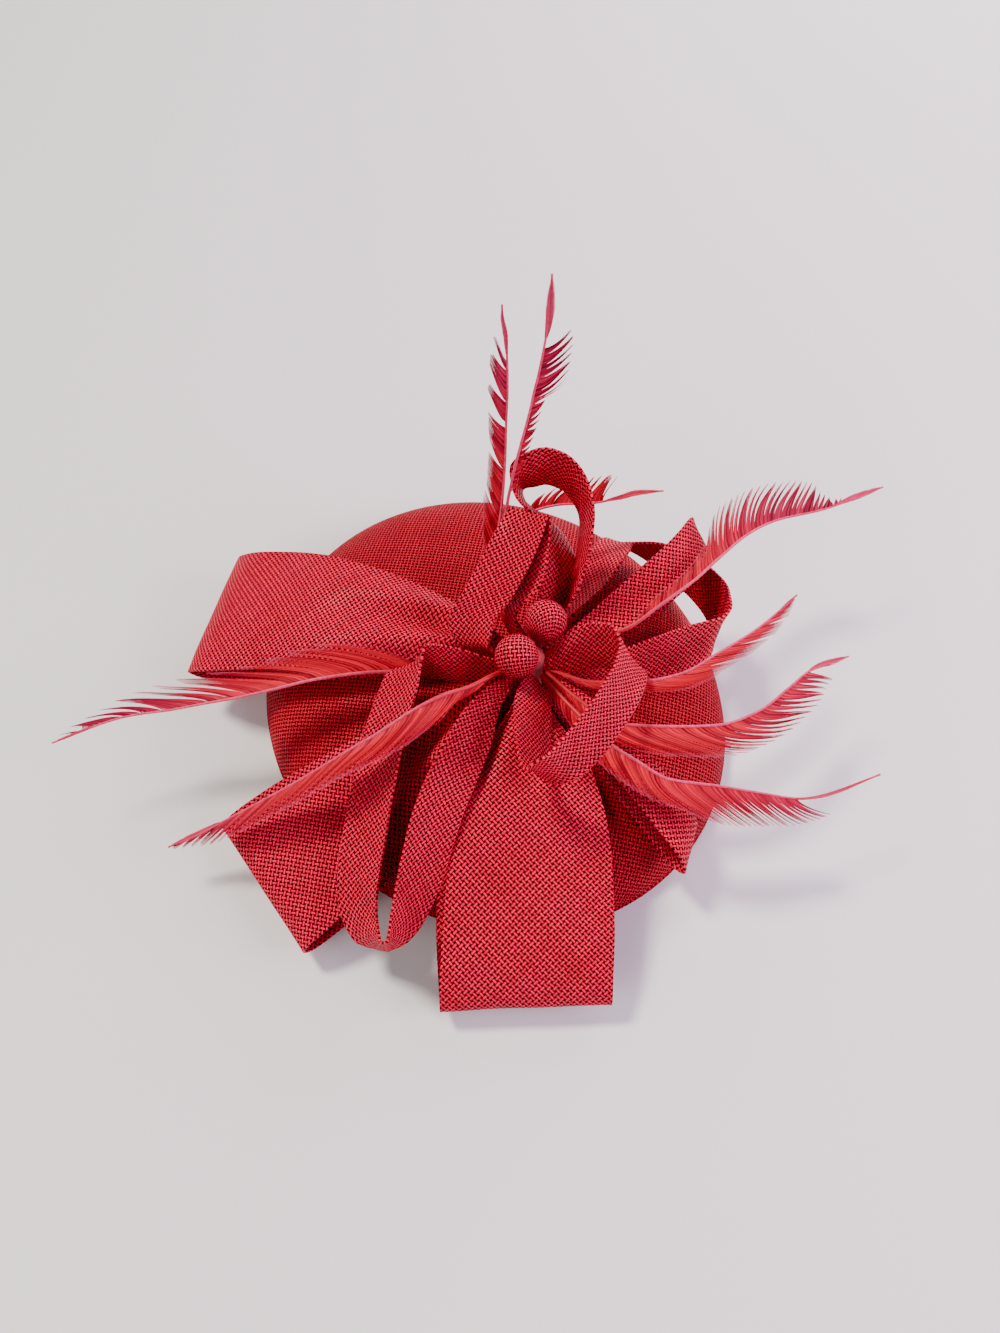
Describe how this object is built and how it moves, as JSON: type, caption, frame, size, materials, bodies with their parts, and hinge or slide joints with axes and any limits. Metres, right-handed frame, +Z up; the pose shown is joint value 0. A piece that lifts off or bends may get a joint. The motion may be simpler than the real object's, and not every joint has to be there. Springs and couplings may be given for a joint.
{
  "type": "fascinator",
  "caption": "Oval domed cap of woven straw cloth with ribbon loops, feathers and covered balls gathered at one point on its crown, and a plain clip beneath.",
  "frame": {"origin": "middle of the oval rim, on the surface that the rim rests on", "axes": "+Z up through the crown; -Y to the front, where the widest loop hangs over the rim; +X to the right, seen from the front"},
  "size_m": [0.2716, 0.1895, 0.1277],
  "materials": {
    "base_cloth": "woven straw cloth, crimson, dry with a faint sheen",
    "ribbon": "coarse plain-woven straw ribbon, bright red",
    "ball_cloth": "the same weave stretched round a ball, rose red",
    "thread": "wound sewing thread, dark red",
    "feather": "dyed feather, red vane and pink shaft",
    "clip_steel": "plain dark spring steel"
  },
  "bodies": {
    "root": {"base_shell": "base_cloth", "hair_clip": "clip_steel", "centre_binding": "thread", "ball_front": "ball_cloth", "ball_back": "ball_cloth", "wide_loop_left": "ribbon", "wide_loop_left_front": "ribbon", "wide_loop_front": "ribbon", "folded_loop_right_front": "ribbon", "folded_loop_right_back": "ribbon", "standing_loop_right": "ribbon", "curled_loop_right": "ribbon", "long_loop_front": "ribbon", "upright_loop_left": "ribbon", "tall_loop_back": "ribbon", "feather_tall_left": "feather", "feather_tall_right": "feather", "feather_back": "feather", "feather_right_back": "feather", "feather_right_upper": "feather", "feather_right_middle": "feather", "feather_right_lower": "feather", "feather_left": "feather", "feather_left_front": "feather"}
  },
  "joints": []
}
